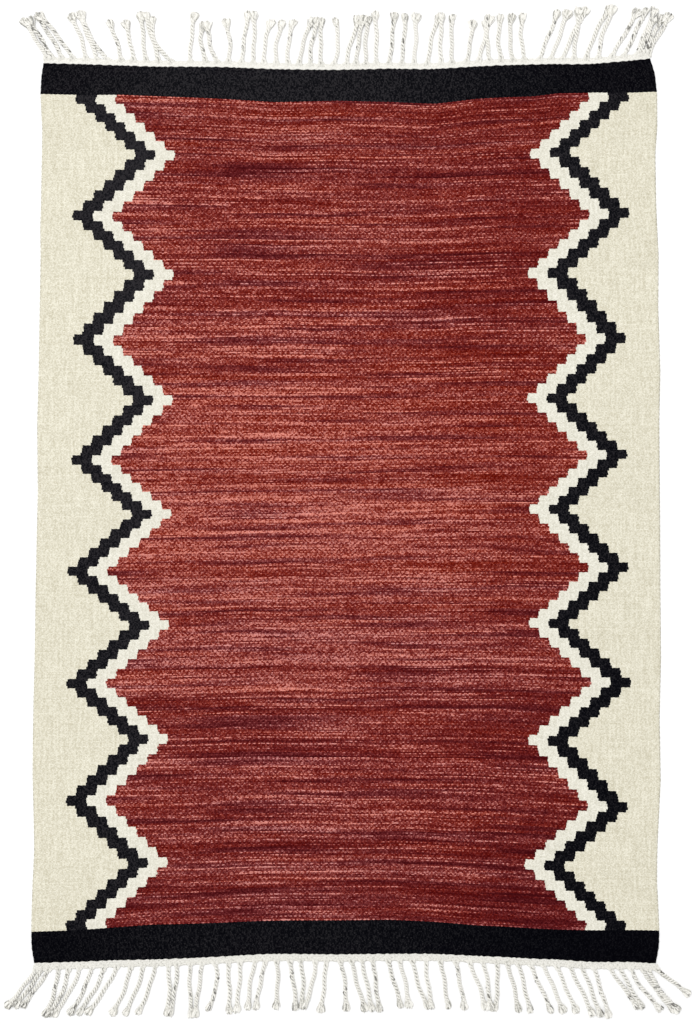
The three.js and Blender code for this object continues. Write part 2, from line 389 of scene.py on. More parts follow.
def crimped_wefts_tree():
    """Lifts each weft over every second warp and lowers it over the others, a little unevenly."""
    tree, given, made = new_group(
        "crimped_wefts",
        "GeometryNodeTree",
        {"Geometry": ["Guide"], "Float": ["Crimp", "Unevenness"], "Int": ["Seed"], "Material": ["Yarn"]},
        {"Geometry": ["Cloth"]},
    )
    number = apply(tree, "GeometryNodeInputIndex")
    uneven = times(tree, chance(tree, -1, 1, number, given["Seed"]), point_value(tree, "on_face"))
    crimped = times(tree, point_value(tree, "swing"), given["Crimp"])
    rise = times_plus(tree, uneven, given["Unevenness"], crimped)
    finish_tree(tree, move(tree, given["Guide"], vector(tree, Z=rise)), given["Yarn"], made["Cloth"])
    return tree


def grow(guide, tree, sizes):
    """Runs a node tree on a guide object, and keeps the plain mesh that it makes."""
    modifier = guide.modifiers.new(tree.name, "NODES")
    modifier.node_group = tree
    for item in tree.interface.items_tree:
        if item.name in sizes:
            modifier[item.identifier] = sizes[item.name]
    depsgraph = bpy.context.evaluated_depsgraph_get()
    mesh = bpy.data.meshes.new_from_object(guide.evaluated_get(depsgraph))
    guide.modifiers.remove(modifier)
    lines = guide.data
    guide.data = mesh
    bpy.data.meshes.remove(lines)
    mesh.name = guide.name
    return guide


STUDIO_LIGHT = 1.2
WEFT_TOOTH = 0.06
EDGE_WOBBLE = 0.06
CORNER_BEND = 1.8
WOOL_FIBRE_SCALE = 560.0
BEADS_PER_WARP = 1.3
# Place across the cloth, in m from its middle, where the painted sheen on the black wool is brightest
SHEEN_CENTRE = -0.17

# Lengths of the streaks in warps, and of the wider patterns also in picks
LONG_STREAK = 80
SHORT_STREAK = 14
LINE_LENGTH = 70
PATCH_LENGTH = 55
PATCH_PICKS = 8
BAND_LENGTH = 60
BAND_PICKS = 2.5
HUE_LENGTH = 400
HUE_PICKS = 7
RIB_PICKS = 12

# Where each pattern's noise, or the place across the cloth, begins to count and counts in full
LIGHT_LINE = (0.61, 0.69)
SHADE_LINE = (0.62, 0.72)
DARK_BAND = (0.55, 0.80)
BEAD = (0.3, 0.7)
RIGHT_SHADE = (0.0, 0.4)
# Distance from that place, in m, where the black begins to darken away from its painted sheen and is
# darkest
SHEEN_SPREAD = (0.1, 0.8)

# How far apart in the noise the strands lie, and the six patterns of one strand
STRAND_SPACING = 7.31
PATTERN_PLACES = (0, 50, 90, 130, 170, 210)

# Lightness of the red yarn lots in the order they were woven in, by the row where each begins
RED_LOTS = [
    (0.0, 0.51), (3.5, 0.54), (6.0, 0.45), (8.0, 0.52), (13.0, 0.55), (16.0, 0.49),
    (21.5, 0.55), (28.5, 0.62), (38.0, 0.54), (39.5, 0.67), (47.5, 0.56), (49.5, 0.62),
    (52.0, 0.54), (54.5, 0.62), (57.6, 0.67), (58.8, 0.48), (59.6, 0.62), (61.5, 0.46),
    (64.0, 0.50), (66.6, 0.41), (67.4, 0.35), (68.2, 0.57), (70.0, 0.50), (76.5, 0.37),
    (77.7, 0.47), (78.7, 0.57), (80.0, 0.46), (80.8, 0.34), (81.8, 0.42),
]

# Shades of the wool, from the darkest to the lightest tone, as the light shows them
RED_SHADES = [
    (0.0, 78, 8, 4), (0.2, 98, 20, 14), (0.4, 117, 35, 30), (0.5, 130, 46, 40),
    (0.6, 145, 61, 53), (0.8, 182, 97, 89), (1.0, 236, 156, 146),
]
CREAM_SHADES = [(0.0, 208, 201, 175), (1.0, 264, 260, 242)]
INNER_CREAM_SHADES = [(0.0, 218, 214, 196), (1.0, 266, 263, 250)]
BLACK_SHADES = [(0.0, 6, 6, 11), (0.5, 20, 20, 24), (1.0, 50, 48, 51)]
WARM_SHIFT = (7, -3, -10)
COOL_SHIFT = (-7, 3, 10)
DARK_SHIFT_GAIN = 0.3

# Coolness of the red by the share of the length: the middle lots are warmer, the last ones cooler
RED_COOLNESS = [
    (0.0, 0.50), (0.25, 0.48), (0.36, 0.34), (0.54, 0.34), (0.64, 0.50), (0.85, 0.58), (1.0, 0.68),
]


def dye(red, green, blue):
    """Linear colour of a yarn that shows these 8-bit values in the studio light."""
    shown = np.array([red, green, blue]) / 255
    linear = np.where(shown <= 0.04045, shown / 12.92, ((shown + 0.055) / 1.055) ** 2.4)
    return (*(linear / STUDIO_LIGHT).tolist(), 1)


def use_group(tree, group, feeds):
    """Places a shader node group in a material and returns its outputs."""
    return place(tree, "ShaderNodeGroup", feeds, node_tree=group).outputs


def blend_colours(tree, share, first, second):
    """The first colour at share 0, the second at share 1."""
    return place(tree, "ShaderNodeMix", {0: share, 6: first, 7: second}, data_type="RGBA").outputs[2]


def any_value(tree, first, second):
    """An even random value from 0 to 1 for each pair of numbers."""
    feeds = {"Vector": vector(tree, X=first, Y=second)}
    return place(tree, "ShaderNodeTexWhiteNoise", feeds, noise_dimensions="2D").outputs["Value"]


def soft_noise(tree, first, second, detail):
    """Soft random values about 0.5 over a flat pattern."""
    feeds = {"Vector": vector(tree, X=first, Y=second), "Scale": 1.0, "Detail": detail}
    return place(tree, "ShaderNodeTexNoise", feeds, noise_dimensions="2D").outputs["Fac"]


def colour_ramp(tree, value, stops, interpolation="LINEAR"):
    """Colours that a value runs through, as (position, colour) stops."""
    node = place(tree, "ShaderNodeValToRGB", {"Fac": value})
    node.color_ramp.interpolation = interpolation
    elements = node.color_ramp.elements
    while len(elements) < len(stops):
        elements.new(0.5)
    for element, (position, colour) in zip(elements, stops):
        element.position = position
        element.color = colour
    return node.outputs["Color"]


def ramp_over(tree, value, start, end):
    """From 0 where a value is at the start to 1 at the end, easing at both."""
    feeds = {"Value": value, "From Min": start, "From Max": end}
    return apply(tree, "ShaderNodeMapRange", feeds, interpolation_type="SMOOTHSTEP")


def weighted(tree, base, *parts):
    """The base plus each value's departure from 0.5, times its weight."""
    total = base
    for value, weight in parts:
        total = plus(tree, total, times_plus(tree, value, weight, -0.5 * weight))
    return total


def dyed(tree, tone, shades, shift=(0, 0, 0)):
    """The shade of a tone, shifted to the warmer or the cooler side, less so where it is light."""
    stops = []
    for level, *shade in shades:
        gain = 1 + DARK_SHIFT_GAIN * (1 - level)
        stops.append((level, dye(*np.add(shade, np.multiply(shift, gain)))))
    return colour_ramp(tree, tone, stops)


def grey(value):
    return (value, value, value, 1)


def weft_strands_group():
    """Which pick and which strand of it shows at a place, and how high that place stands in the weave."""
    group, given, made = new_group(
        "weft_strands",
        "ShaderNodeTree",
        {"Float": ["Warp", "Pick Count", "Tooth"]},
        {"Float": ["Pick", "Strand", "Crown", "Height"]},
    )
    border = calc("ROUND", group, given["Pick Count"])
    swing = calc("COSINE", group, times(group, plus(group, given["Warp"], border), math.pi))
    toothed = times_plus(group, swing, given["Tooth"], given["Pick Count"])
    pick = calc("FLOOR", group, toothed)
    strand_count = times(group, toothed, STRANDS_PER_WEFT)
    crossing = times(group, plus(group, given["Warp"], pick), math.pi)
    crown = times_plus(group, calc("COSINE", group, crossing), 0.5, 0.5)
    off_middle = times_plus(group, calc("FRACT", group, strand_count), 2, -1)
    belly = minus(group, 1, times(group, off_middle, off_middle))
    height = times(group, belly, times_plus(group, crown, 0.7, 0.3))
    strand = calc("FLOOR", group, strand_count)
    feed_all(group, made, {"Pick": pick, "Strand": strand, "Crown": crown, "Height": height})
    return group


def stepped_zigzag_group():
    """Masks of the black, the inner cream and the red field, counted in steps and rows."""
    group, given, made = new_group(
        "stepped_zigzag",
        "ShaderNodeTree",
        {"Float": ["Steps In", "Row"]},
        {"Float": ["Band", "Black", "Inner Cream", "Field"]},
    )
    climb = 6
    black_steps = 2
    cream_steps = 1.9
    in_turn = calc("FLOORED_MODULO", group, given["Row"], 2 * climb)
    from_turn = calc("ABSOLUTE", group, minus(group, in_turn, climb))
    tip = minus(group, climb, from_turn)
    step = minus(group, given["Steps In"], tip)
    after_far = calc("GREATER_THAN", group, given["Row"], -0.5)
    before_near = calc("LESS_THAN", group, given["Row"], ROWS - 0.5)
    inside = times(group, after_far, before_near)
    past_outer = calc("GREATER_THAN", group, step, 0)
    past_black = calc("GREATER_THAN", group, step, black_steps)
    past_cream = calc("GREATER_THAN", group, step, black_steps + cream_steps)
    zigzag = minus(group, past_outer, past_black)
    band = minus(group, 1, inside)
    black = calc("MAXIMUM", group, band, zigzag)
    inner_cream, field = (times(group, inside, past) for past in (past_black, past_cream))
    feed_all(group, made, {"Band": band, "Black": black, "Inner Cream": inner_cream, "Field": field})
    return group


def spun_fibres_group():
    """Fine unevenness of spun yarn, for its tone and its surface."""
    group, given, made = new_group(
        "spun_fibres",
        "ShaderNodeTree",
        {"Vector": ["Place"], "Float": ["Fibre Scale"]},
        {"Float": ["Tone"]},
    )
    feeds = {"Vector": given["Place"], "Scale": given["Fibre Scale"], "Detail": 3.0, "Roughness": 0.6}
    noise = place(group, "ShaderNodeTexNoise", feeds, noise_dimensions="3D")
    feed(group, made["Tone"], noise.outputs["Fac"])
    return group


WEFT_STRANDS = weft_strands_group()
STEPPED_ZIGZAG = stepped_zigzag_group()
SPUN_FIBRES = spun_fibres_group()


def new_material(name):
    """A matte material, with its tree and its shader."""
    material = bpy.data.materials.new(name)
    material.use_nodes = True
    tree = material.node_tree
    shader = tree.nodes["Principled BSDF"]
    shader.inputs["Roughness"].default_value = 1.0
    shader.inputs["Specular IOR Level"].default_value = 0.0
    return material, tree, shader


def dress(tree, shader, colour, bump):
    """Gives a shader its colour and the bumps of its yarn."""
    normal = apply(tree, "ShaderNodeBump", bump)
    feed_all(tree, shader.inputs, {"Base Color": colour, "Normal": normal})


def wool_material():
    """Streaked red, cream and black wool wefts, worked out strand by strand."""
    material, tree, shader = new_material("woven_wool")
    object_place = place(tree, "ShaderNodeTexCoord").outputs["Object"]
    weave = place(tree, "ShaderNodeUVMap", uv_map="weave").outputs["UV"]
    warp, pick_count, _ = place(tree, "ShaderNodeSeparateXYZ", {"Vector": weave}).outputs
    across, along, _ = place(tree, "ShaderNodeSeparateXYZ", {"Vector": object_place}).outputs
    wefts = use_group(tree, WEFT_STRANDS, {"Warp": warp, "Pick Count": pick_count, "Tooth": WEFT_TOOTH})
    pick, strand, height = wefts["Pick"], wefts["Strand"], wefts["Height"]
    fibres = use_group(tree, SPUN_FIBRES, {"Place": object_place, "Fibre Scale": WOOL_FIBRE_SCALE})["Tone"]

    row = over(tree, minus(tree, pick, FAR_BAND_PICKS - 0.5), PICKS_PER_ROW)
    whole_row = calc("FLOOR", tree, row)
    off_middle = minus(tree, calc("FRACT", tree, row), 0.5)
    bend = times(tree, calc("POWER", tree, off_middle, 3.0), CORNER_BEND)
    side = calc("GREATER_THAN", tree, warp, WARPS / 2)
    steps = place(tree, "ShaderNodeAttribute", attribute_name="steps_in").outputs["Fac"]
    own_turn = any_value(tree, pick, side)
    steps = weighted(tree, steps, (own_turn, EDGE_WOBBLE), (wefts["Crown"], EDGE_WOBBLE))
    chart = use_group(tree, STEPPED_ZIGZAG, {"Steps In": steps, "Row": plus(tree, whole_row, bend)})

    def along_weft(length, place_across, detail):
        """Soft random values that change along the wefts over a length in warps."""
        return soft_noise(tree, over(tree, warp, length), place_across, detail)

    own_place = times(tree, strand, STRAND_SPACING)
    long_place, short_place, light_place, shade_place, grain_place, hue_place = (
        plus(tree, own_place, pattern_place) for pattern_place in PATTERN_PLACES
    )
    band_place = over(tree, pick, BAND_PICKS)
    long_streak = along_weft(LONG_STREAK, long_place, 1.0)
    short_streak = along_weft(SHORT_STREAK, short_place, 1.0)
    light_line = ramp_over(tree, along_weft(LINE_LENGTH, light_place, 0.0), *LIGHT_LINE)
    # Thin dark lines along single strands: painted shadow between the picks.
    shade_line = ramp_over(tree, along_weft(LINE_LENGTH, shade_place, 0.0), *SHADE_LINE)
    patch = along_weft(PATCH_LENGTH, over(tree, pick, PATCH_PICKS), 1.0)
    dark_band = ramp_over(tree, along_weft(BAND_LENGTH, band_place, 0.0), *DARK_BAND)
    rib = soft_noise(tree, warp, over(tree, pick, RIB_PICKS), 0.0)
    float_number = calc("ROUND", tree, over(tree, plus(tree, warp, pick), 2))
    float_tone = any_value(tree, strand, float_number)
    bead = times(tree, warp, BEADS_PER_WARP)
    grain, hue_bead = (
        ramp_over(tree, soft_noise(tree, bead, bead_place, 0.0), *BEAD)
        for bead_place in (grain_place, hue_place)
    )

    way_along = over(tree, row, ROWS)
    lot_stops = [(start / ROWS, grey(tone)) for start, tone in RED_LOTS]
    lot = colour_ramp(tree, way_along, lot_stops, "CONSTANT")
    # Painted shade: the red lots are darker towards the right side, where the lamp on the far left lights
    # the cloth less.
    right_shade = ramp_over(tree, across, *RIGHT_SHADE)
    for pattern, gain in ((right_shade, -0.10), (light_line, 0.28), (shade_line, -0.13), (dark_band, -0.18)):
        lot = times_plus(tree, pattern, gain, lot)
    streaks = weighted(tree, lot, (long_streak, 0.40), (short_streak, 0.28), (patch, 0.1))
    contrast = times_plus(tree, streaks, 0.75, 0.6)
    # The height term paints the crowns of the floats lighter and the dips between them darker: painted
    # highlight and painted shade.
    beads = weighted(tree, 0.0, (grain, 0.36), (float_tone, 0.28), (height, 0.55), (fibres, 0.7))
    tone = times_plus(tree, beads, contrast, streaks)
    hue_lot = along_weft(HUE_LENGTH, over(tree, pick, HUE_PICKS), 1.0)
    hue_pick = along_weft(LINE_LENGTH, band_place, 1.0)
    coolness = colour_ramp(tree, way_along, [(share, grey(cool)) for share, cool in RED_COOLNESS])
    coolness = weighted(tree, coolness, (hue_lot, 0.35), (hue_pick, 0.9), (hue_bead, 0.4), (streaks, -0.5))
    coolness = times_plus(tree, dark_band, 0.3, coolness)
    warm, cool = (dyed(tree, tone, RED_SHADES, shift) for shift in (WARM_SHIFT, COOL_SHIFT))
    red = blend_colours(tree, coolness, warm, cool)

    # In the cream, too, the height term is painted highlight on the crowns and painted shade in the dips.
    plain = weighted(tree, 0.5, (grain, 0.35), (short_streak, 0.3), (height, 0.25), (fibres, 1.2))
    ribbed = weighted(tree, plain, (rib, 0.3))
    cream, inner_cream = (dyed(tree, ribbed, shades) for shades in (CREAM_SHADES, INNER_CREAM_SHADES))
    # In the black, the height term is painted highlight on the crowns and painted shade in the dips.
    specks = weighted(tree, 0.5, (grain, 0.55), (height, 0.2), (fibres, 1.6))
    # Painted sheen on the black wool: lighter towards the far end and round a place a little left of the
    # middle, darker away from both, where the lamp's reflection on the wool would lie.
    far_share = ramp_over(tree, along, -1.0, 1.0)
    away_from_sheen = ramp_over(tree, calc("ABSOLUTE", tree, minus(tree, across, SHEEN_CENTRE)), *SHEEN_SPREAD)
    black_tone_and_sheen = weighted(tree, specks, (far_share, 0.25), (away_from_sheen, -0.35), (chart["Band"], -0.3))
    black = dyed(tree, black_tone_and_sheen, BLACK_SHADES)

    colour = blend_colours(tree, chart["Inner Cream"], cream, inner_cream)
    colour = blend_colours(tree, chart["Field"], colour, red)
    colour = blend_colours(tree, chart["Black"], colour, black)
    bump = {"Strength": 0.6, "Distance": 0.001, "Height": weighted(tree, height, (fibres, 0.4))}
    dress(tree, shader, colour, bump)
    return material


cloth = grow(smooth_cloth(), crimped_wefts_tree(), {
    "Crimp": CRIMP,
    "Unevenness": CRIMP_UNEVENNESS,
    "Seed": 11,
    "Yarn": wool_material(),
})
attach(cloth, "root")
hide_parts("cloth")

# Headings
# At each end three thick white cotton wefts are woven across, with their ends tucked in at the sides.
# They lock the black band and hold the warps that go on into the fringe.

SEAM_GAP = 0.0003
HEADING_PICKS = 3
HEADING_YARN_OVERLAP = 1.4
HEADING_YARN_THICKNESS = 0.0028
HEADING_CRIMP = 0.0004
HEADING_LEVEL = 0.0024
HEADING_END = 0.004
BLUNT_END = 1.02
HEADING_GLINT = 0.06
POINTS_PER_WARP = 4

# Cotton's fibres and shades, the share of its strands not painted dark as shade, and how much less at the
# corners
COTTON_FIBRE_SCALE = 300.0
DARK_STRETCH_SCALE = 40.0
UNSHADED_SHARE = 0.955
CORNER_LOSS = 0.30
CORNER = (0.58, 0.70)
DARK_STRETCH = (0.42, 0.62)
DARK_DEPTH = 0.85
DARK_COTTON = (86, 84, 80)
# The darker cotton shades give the painted shade in the grooves between strands.
COTTON_SHADES = [(0.0, 158, 157, 149), (0.4, 240, 238, 230), (0.8, 259, 257, 250), (1.0, 265, 263, 257)]


def guide_lines(name, lines, values):
    """An object of open lines for a node tree to follow, with named values at its points."""
    edges = []
    start = 0
    for line in lines:
        edges += [(point, point + 1) for point in range(start, start + len(line) - 1)]
        start += len(line)
    mesh = bpy.data.meshes.new(name)
    mesh.from_pydata(np.concatenate(lines).tolist(), edges, [])
    name_values(mesh, {value_name: np.concatenate(numbers) for value_name, numbers in values.items()})
    return add_object(name, mesh)


def keep_value(tree, geometry, name, value, kind="FLOAT"):
    """Stores a value of every point under a name."""
    feeds = {"Geometry": geometry, "Name": name, "Value": value}
    return apply(tree, "GeometryNodeStoreNamedAttribute", feeds, data_type=kind)


def sweep(tree, line, section):
    """A closed tube of a section along a line, as thick as the line's radius says."""
    feeds = {"Curve": line, "Profile Curve": section, "Fill Caps": True}
    return apply(tree, "GeometryNodeCurveToMesh", feeds)


def round_section(tree, sides, radius):
    """A round section with so many sides."""
    return apply(tree, "GeometryNodeCurvePrimitiveCircle", {"Resolution": sides, "Radius": radius})


def woven_heading_tree():
    """Flattened yarns that rise over one warp and dip under the next, with rounded ends."""
    tree, given, made = new_group(
        "woven_heading",
        "GeometryNodeTree",
        {
            "Geometry": ["Guide"],
            "Int": ["Points"],
            "Float": ["Yarn Width", "Yarn Thickness", "Crimp", "Lightness", "End Length"],
            "Material": ["Yarn"],
        },
        {"Geometry": ["Heading"]},
    )
    line = apply(tree, "GeometryNodeMeshToCurve", {"Mesh": given["Guide"]})
    line = apply(tree, "GeometryNodeResampleCurve", {"Curve": line, "Count": given["Points"]})
    line = apply(tree, "GeometryNodeSetCurveNormal", {"Curve": line}, mode="Z_UP")
    swing = calc("COSINE", tree, times(tree, point_value(tree, "warp_turn"), math.pi))
    line = move(tree, line, vector(tree, Z=times(tree, swing, given["Crimp"])))
    line = keep_value(tree, line, "outside", times_plus(tree, swing, HEADING_GLINT, given["Lightness"]))
    to_end = over(tree, point_value(tree, "from_end"), given["End Length"])
    missing = minus(tree, 1, calc("MINIMUM", tree, to_end, 1.0))
    rounded = calc("SQRT", tree, minus(tree, BLUNT_END, times(tree, missing, missing)))
    line = apply(tree, "GeometryNodeSetCurveRadius", {"Curve": line, "Radius": rounded})
    section = round_section(tree, 8, 0.5)
    flat = vector(tree, X=given["Yarn Width"], Y=given["Yarn Thickness"], Z=1.0)
    section = apply(tree, "GeometryNodeTransform", {"Geometry": section, "Scale": flat})
    finish_tree(tree, sweep(tree, line, section), given["Yarn"], made["Heading"])
    return tree


def heading_guide(name, end_pick, outward, depth):
    """Wefts that cross an end side by side, the warps each has passed and how far off its end is."""
    x, end_line, _ = woven_place(np.linspace(0, 1, WARPS), np.full(WARPS, end_pick))
    from_end = np.minimum(x - x[0], x[-1] - x)
    lines, turns = [], []
    for number in range(HEADING_PICKS):
        y = end_line + outward * (SEAM_GAP + (number + 0.5) * depth / HEADING_PICKS)
        lines.append(np.array([x, y, np.full(WARPS, HEADING_LEVEL)]).T)
        turns.append(np.arange(WARPS) + number)
    return guide_lines(name, lines, {"warp_turn": turns, "from_end": [from_end] * HEADING_PICKS})


def cotton_material():
    """Off-white cotton, painted greyer as shade in the grooves and in a dark strand here and there."""
    material, tree, shader = new_material("warp_cotton")
    object_place = place(tree, "ShaderNodeTexCoord").outputs["Object"]
    outside, cord, strand_tone = (
        place(tree, "ShaderNodeAttribute", attribute_name=name).outputs["Fac"]
        for name in ("outside", "cord", "strand_tone")
    )
    fibres, stretch = (
        use_group(tree, SPUN_FIBRES, {"Place": object_place, "Fibre Scale": scale})["Tone"]
        for scale in (COTTON_FIBRE_SCALE, DARK_STRETCH_SCALE)
    )
    each_cord = any_value(tree, calc("ROUND", tree, cord), 1.3)

    across = place(tree, "ShaderNodeSeparateXYZ", {"Vector": object_place}).outputs["X"]
    at_corner = ramp_over(tree, calc("ABSOLUTE", tree, across), *CORNER)
    unshaded_share = times_plus(tree, at_corner, -CORNER_LOSS, UNSHADED_SHARE)
    # Dark strands, more of them at the corners, are painted shade of the crowded cords there.
    dark_strand = calc("GREATER_THAN", tree, strand_tone, unshaded_share)
    dark = times(tree, dark_strand, ramp_over(tree, stretch, *DARK_STRETCH))

    tone = weighted(tree, outside, (fibres, 1.3), (each_cord, 0.15))
    colour = dyed(tree, tone, COTTON_SHADES)
    colour = blend_colours(tree, times(tree, dark, DARK_DEPTH), colour, dye(*DARK_COTTON))
    dress(tree, shader, colour, {"Strength": 0.5, "Distance": 0.0005, "Height": fibres})
    return material


COTTON = cotton_material()
WOVEN_HEADING = woven_heading_tree()

# Each end's pick count, the way outwards and the heading's depth
ENDS = {"far": (0, 1, 0.0120), "near": (PICKS, -1, 0.0142)}
# Painted light: the far heading's tone is set lighter than the near one's, as the lamp on the far left
# lights that end more.
HEADING_LIGHTNESS = {"far": 0.60, "near": 0.42}
for end, (end_pick, outward, depth) in ENDS.items():
    heading = grow(heading_guide("heading_" + end, end_pick, outward, depth), WOVEN_HEADING, {
        "Points": WARPS * POINTS_PER_WARP,
        "Yarn Width": HEADING_YARN_OVERLAP * depth / HEADING_PICKS,
        "Yarn Thickness": HEADING_YARN_THICKNESS,
        "Crimp": HEADING_CRIMP,
        "Lightness": HEADING_LIGHTNESS[end],
        "End Length": HEADING_END,
        "Yarn": COTTON,
    })
    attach(heading, "root")

# Fringes
# The warps leave the heading in bundles of six strands, plied by hand into cords of two plies.
# No knot holds them, so each cord opens into a brush of loose fibres where it was cut.

LEAN_POWER = 1.25
STRANDS = 6
STRANDS_PER_PLY = 3
STRAND_RADIUS = 0.0019
PLY_OFFSET = 0.0028
STRAND_OFFSET = 0.0010
CORD_FLATNESS = 0.75
CORD_RADIUS = PLY_OFFSET + STRAND_OFFSET + STRAND_RADIUS
CORD_LEVEL = (PLY_OFFSET + STRAND_OFFSET) * CORD_FLATNESS + STRAND_RADIUS + FLOOR_GAP
CORD_POINTS = 28
CORD_WAVE = 0.0016
WAVES_PER_CORD = 1.6
WAVE_SHIFT = 0.37
BRUSH_WAIST = 0.6 * CORD_RADIUS
BRUSH_ROUNDING = 0.006
LAID_OVER = 0.0035
LAID_OVER_PART = (0.35, 0.8)
ROOT_PART = (0.0, 0.1)
# How strongly the painted groove shade darkens the inside of the cords
GROOVE_CONTRAST = 1.8
# Painted light: the far fringe's cords are set lighter than the near fringe's, as the lamp on the far left
# lights that end more.
CORD_LIGHTNESS = {"far": -0.42, "near": -0.55}

# The least and the most of what differs from cord to cord, strand to strand and fibre to fibre
SPREAD_RANGE = (0.5, 1.3)
PITCH_RANGE = (0.85, 1.25)
STRAND_ENDS = (-0.006, 0.001)
FIBRE_ENDS = (-0.003, 0.002)
FIBRE_TONES = (0.15, 0.85)

# Cords in the groups they lie in, from left to right, in mm from the cloth's middle: how many cords,
# the first root and the pitch of the roots, the same for the tips, the bulge half-way and the reach.
FAR_GROUPS = [
    (2, -672, 12, -729, 12, -2, 88), (2, -639, 25, -699, 6, 0, 100),
    (1, -585, 0, -621, 0, 2, 102), (1, -560, 0, -603, 0, -2, 108),
    (1, -535, 0, -598, 0, -14, 108), (2, -506, 27, -535, 36, 1, 90),
    (2, -450, 29, -461, 9, -3, 110), (1, -392, 0, -435, 0, -22, 101),
    (1, -351, 0, -340, 0, -3, 110), (2, -315, 25, -322, 11, -9, 89),
    (1, -266, 0, -273, 0, 6, 96), (2, -237, 27, -221, 13, 1, 115),
    (3, -185, 27, -167, 25, -6, 98), (3, -107, 25, -75, 10, -3, 104),
    (1, -30, 0, -28, 0, 10, 103), (3, -1, 22, 30, 9, -2, 108),
    (1, 66, 0, 64, 0, 1, 118), (3, 95, 28, 107, 24, 2, 113),
    (2, 181, 31, 208, 5, -2, 113), (1, 237, 0, 239, 0, -3, 108),
    (2, 268, 27, 282, 34, 4, 94), (4, 322, 26, 322, 25, -7, 103),
    (2, 432, 26, 475, 23, 3, 110), (2, 484, 26, 541, -18, 0, 115),
    (2, 538, 27, 594, 7, -4, 117), (3, 594, 28, 657, 18, 3, 106),
    (3, 656, 10, 694, 17, 3, 88),
]
NEAR_GROUPS = [
    (3, -695, 14, -766, 18, -2, 86), (3, -648, 24, -679, 9, 5, 107),
    (3, -571, 28, -623, 19, 2, 107), (3, -484, 27, -529, 29, 3, 110),
    (2, -401, 20, -403, 5, 3, 114), (2, -351, 27, -349, 9, -2, 119),
    (1, -297, 0, -315, 0, 12, 106), (2, -266, 27, -264, 16, 1, 115),
    (2, -205, 25, -223, 18, -4, 110), (2, -158, 29, -160, 45, 4, 110),
    (2, -104, 33, -102, 5, 5, 107), (1, -46, 0, -60, 0, 1, 115),
    (1, -15, 0, -1, 0, 5, 112), (3, 10, 24, 42, 16, 1, 114),
    (2, 91, 27, 122, 20, 3, 108), (2, 147, 31, 183, 9, -2, 109),
    (2, 210, 34, 228, 38, 2, 108), (3, 274, 31, 313, 9, 5, 108),
    (2, 360, 25, 387, 25, 3, 109), (3, 412, 29, 461, 28, 3, 107),
    (3, 500, 27, 553, 18, 4, 111), (2, 589, 22, 657, 8, 2, 90),
    (1, 637, 0, 708, 0, -4, 94), (2, 664, 11, 738, 8, -2, 95),
    (1, 691, 0, 770, 0, 6, 58),
]


def cord_guides(name, groups, end_pick, outward, depth):
    """Middle lines of a fringe's cords, with each point's way along its cord and the cord's number."""
    lines, alongs, reaches, numbers = [], [], [], []
    share = np.linspace(0, 1, CORD_POINTS)
    end_x, end_line, _ = woven_place(np.linspace(0, 1, WARPS), np.full(WARPS, end_pick))
    for cords, root, pitch, tip, tip_pitch, bow, reach in groups:
        for place_in_group in range(cords):
            start = (root + place_in_group * pitch) * MM
            lean = (tip + place_in_group * tip_pitch) * MM - start
            root_y = np.interp(start, end_x, end_line) + outward * (SEAM_GAP + depth / 2)
            wave = CORD_WAVE * np.sin(math.tau * (WAVES_PER_CORD * share + WAVE_SHIFT * len(lines)))
            x = start + lean * share**LEAN_POWER + (bow * MM + wave) * np.sin(np.pi * share)
            y = root_y + outward * (reach * MM + depth / 2) * share
            crowding = np.clip(1 - tip_pitch * MM / (4 * CORD_RADIUS), 0, 1) if cords > 1 else 0
            lift = LAID_OVER * crowding * (place_in_group % 2) * smooth_share(share, *LAID_OVER_PART)
            z = lerp(HEADING_LEVEL, CORD_LEVEL, smooth_share(share, *ROOT_PART)) + lift
            line = np.array([x, y, z]).T
            along = np.concatenate([[0], np.cumsum(np.linalg.norm(np.diff(line, axis=0), axis=1))])
            numbers.append(np.full(CORD_POINTS, len(lines)))
            reaches.append(np.full(CORD_POINTS, along[-1]))
            alongs.append(along)
            lines.append(line)
    return guide_lines(name, lines, {"along": alongs, "reach": reaches, "cord": numbers})


def vector_calc(operation, tree, *values):
    """One step of vector arithmetic on sockets and plain vectors."""
    sockets = (0, "Scale" if operation == "SCALE" else 1)
    node = place(tree, "ShaderNodeVectorMath", dict(zip(sockets, values)), operation=operation)
    return node.outputs["Value" if operation == "LENGTH" else "Vector"]


def offset_on_line(tree, side, rise, push):
    """An offset to the side of a line, straight up and along the line."""
    tangent = apply(tree, "GeometryNodeInputTangent")
    across = vector_calc("NORMALIZE", tree, vector_calc("CROSS_PRODUCT", tree, tangent, (0, 0, 1)))
    sideways = vector_calc("SCALE", tree, across, side)
    lengthways = vector_calc("SCALE", tree, tangent, push)
    return vector_calc("ADD", tree, vector(tree, Z=rise), vector_calc("ADD", tree, sideways, lengthways))


def copy_lines(tree, lines, amount):
    """Copies every line, and numbers the copies."""
    feeds = {"Geometry": lines, "Amount": amount}
    copies = place(tree, "GeometryNodeDuplicateElements", feeds, domain="SPLINE").outputs
    return copies["Geometry"], copies["Duplicate Index"]


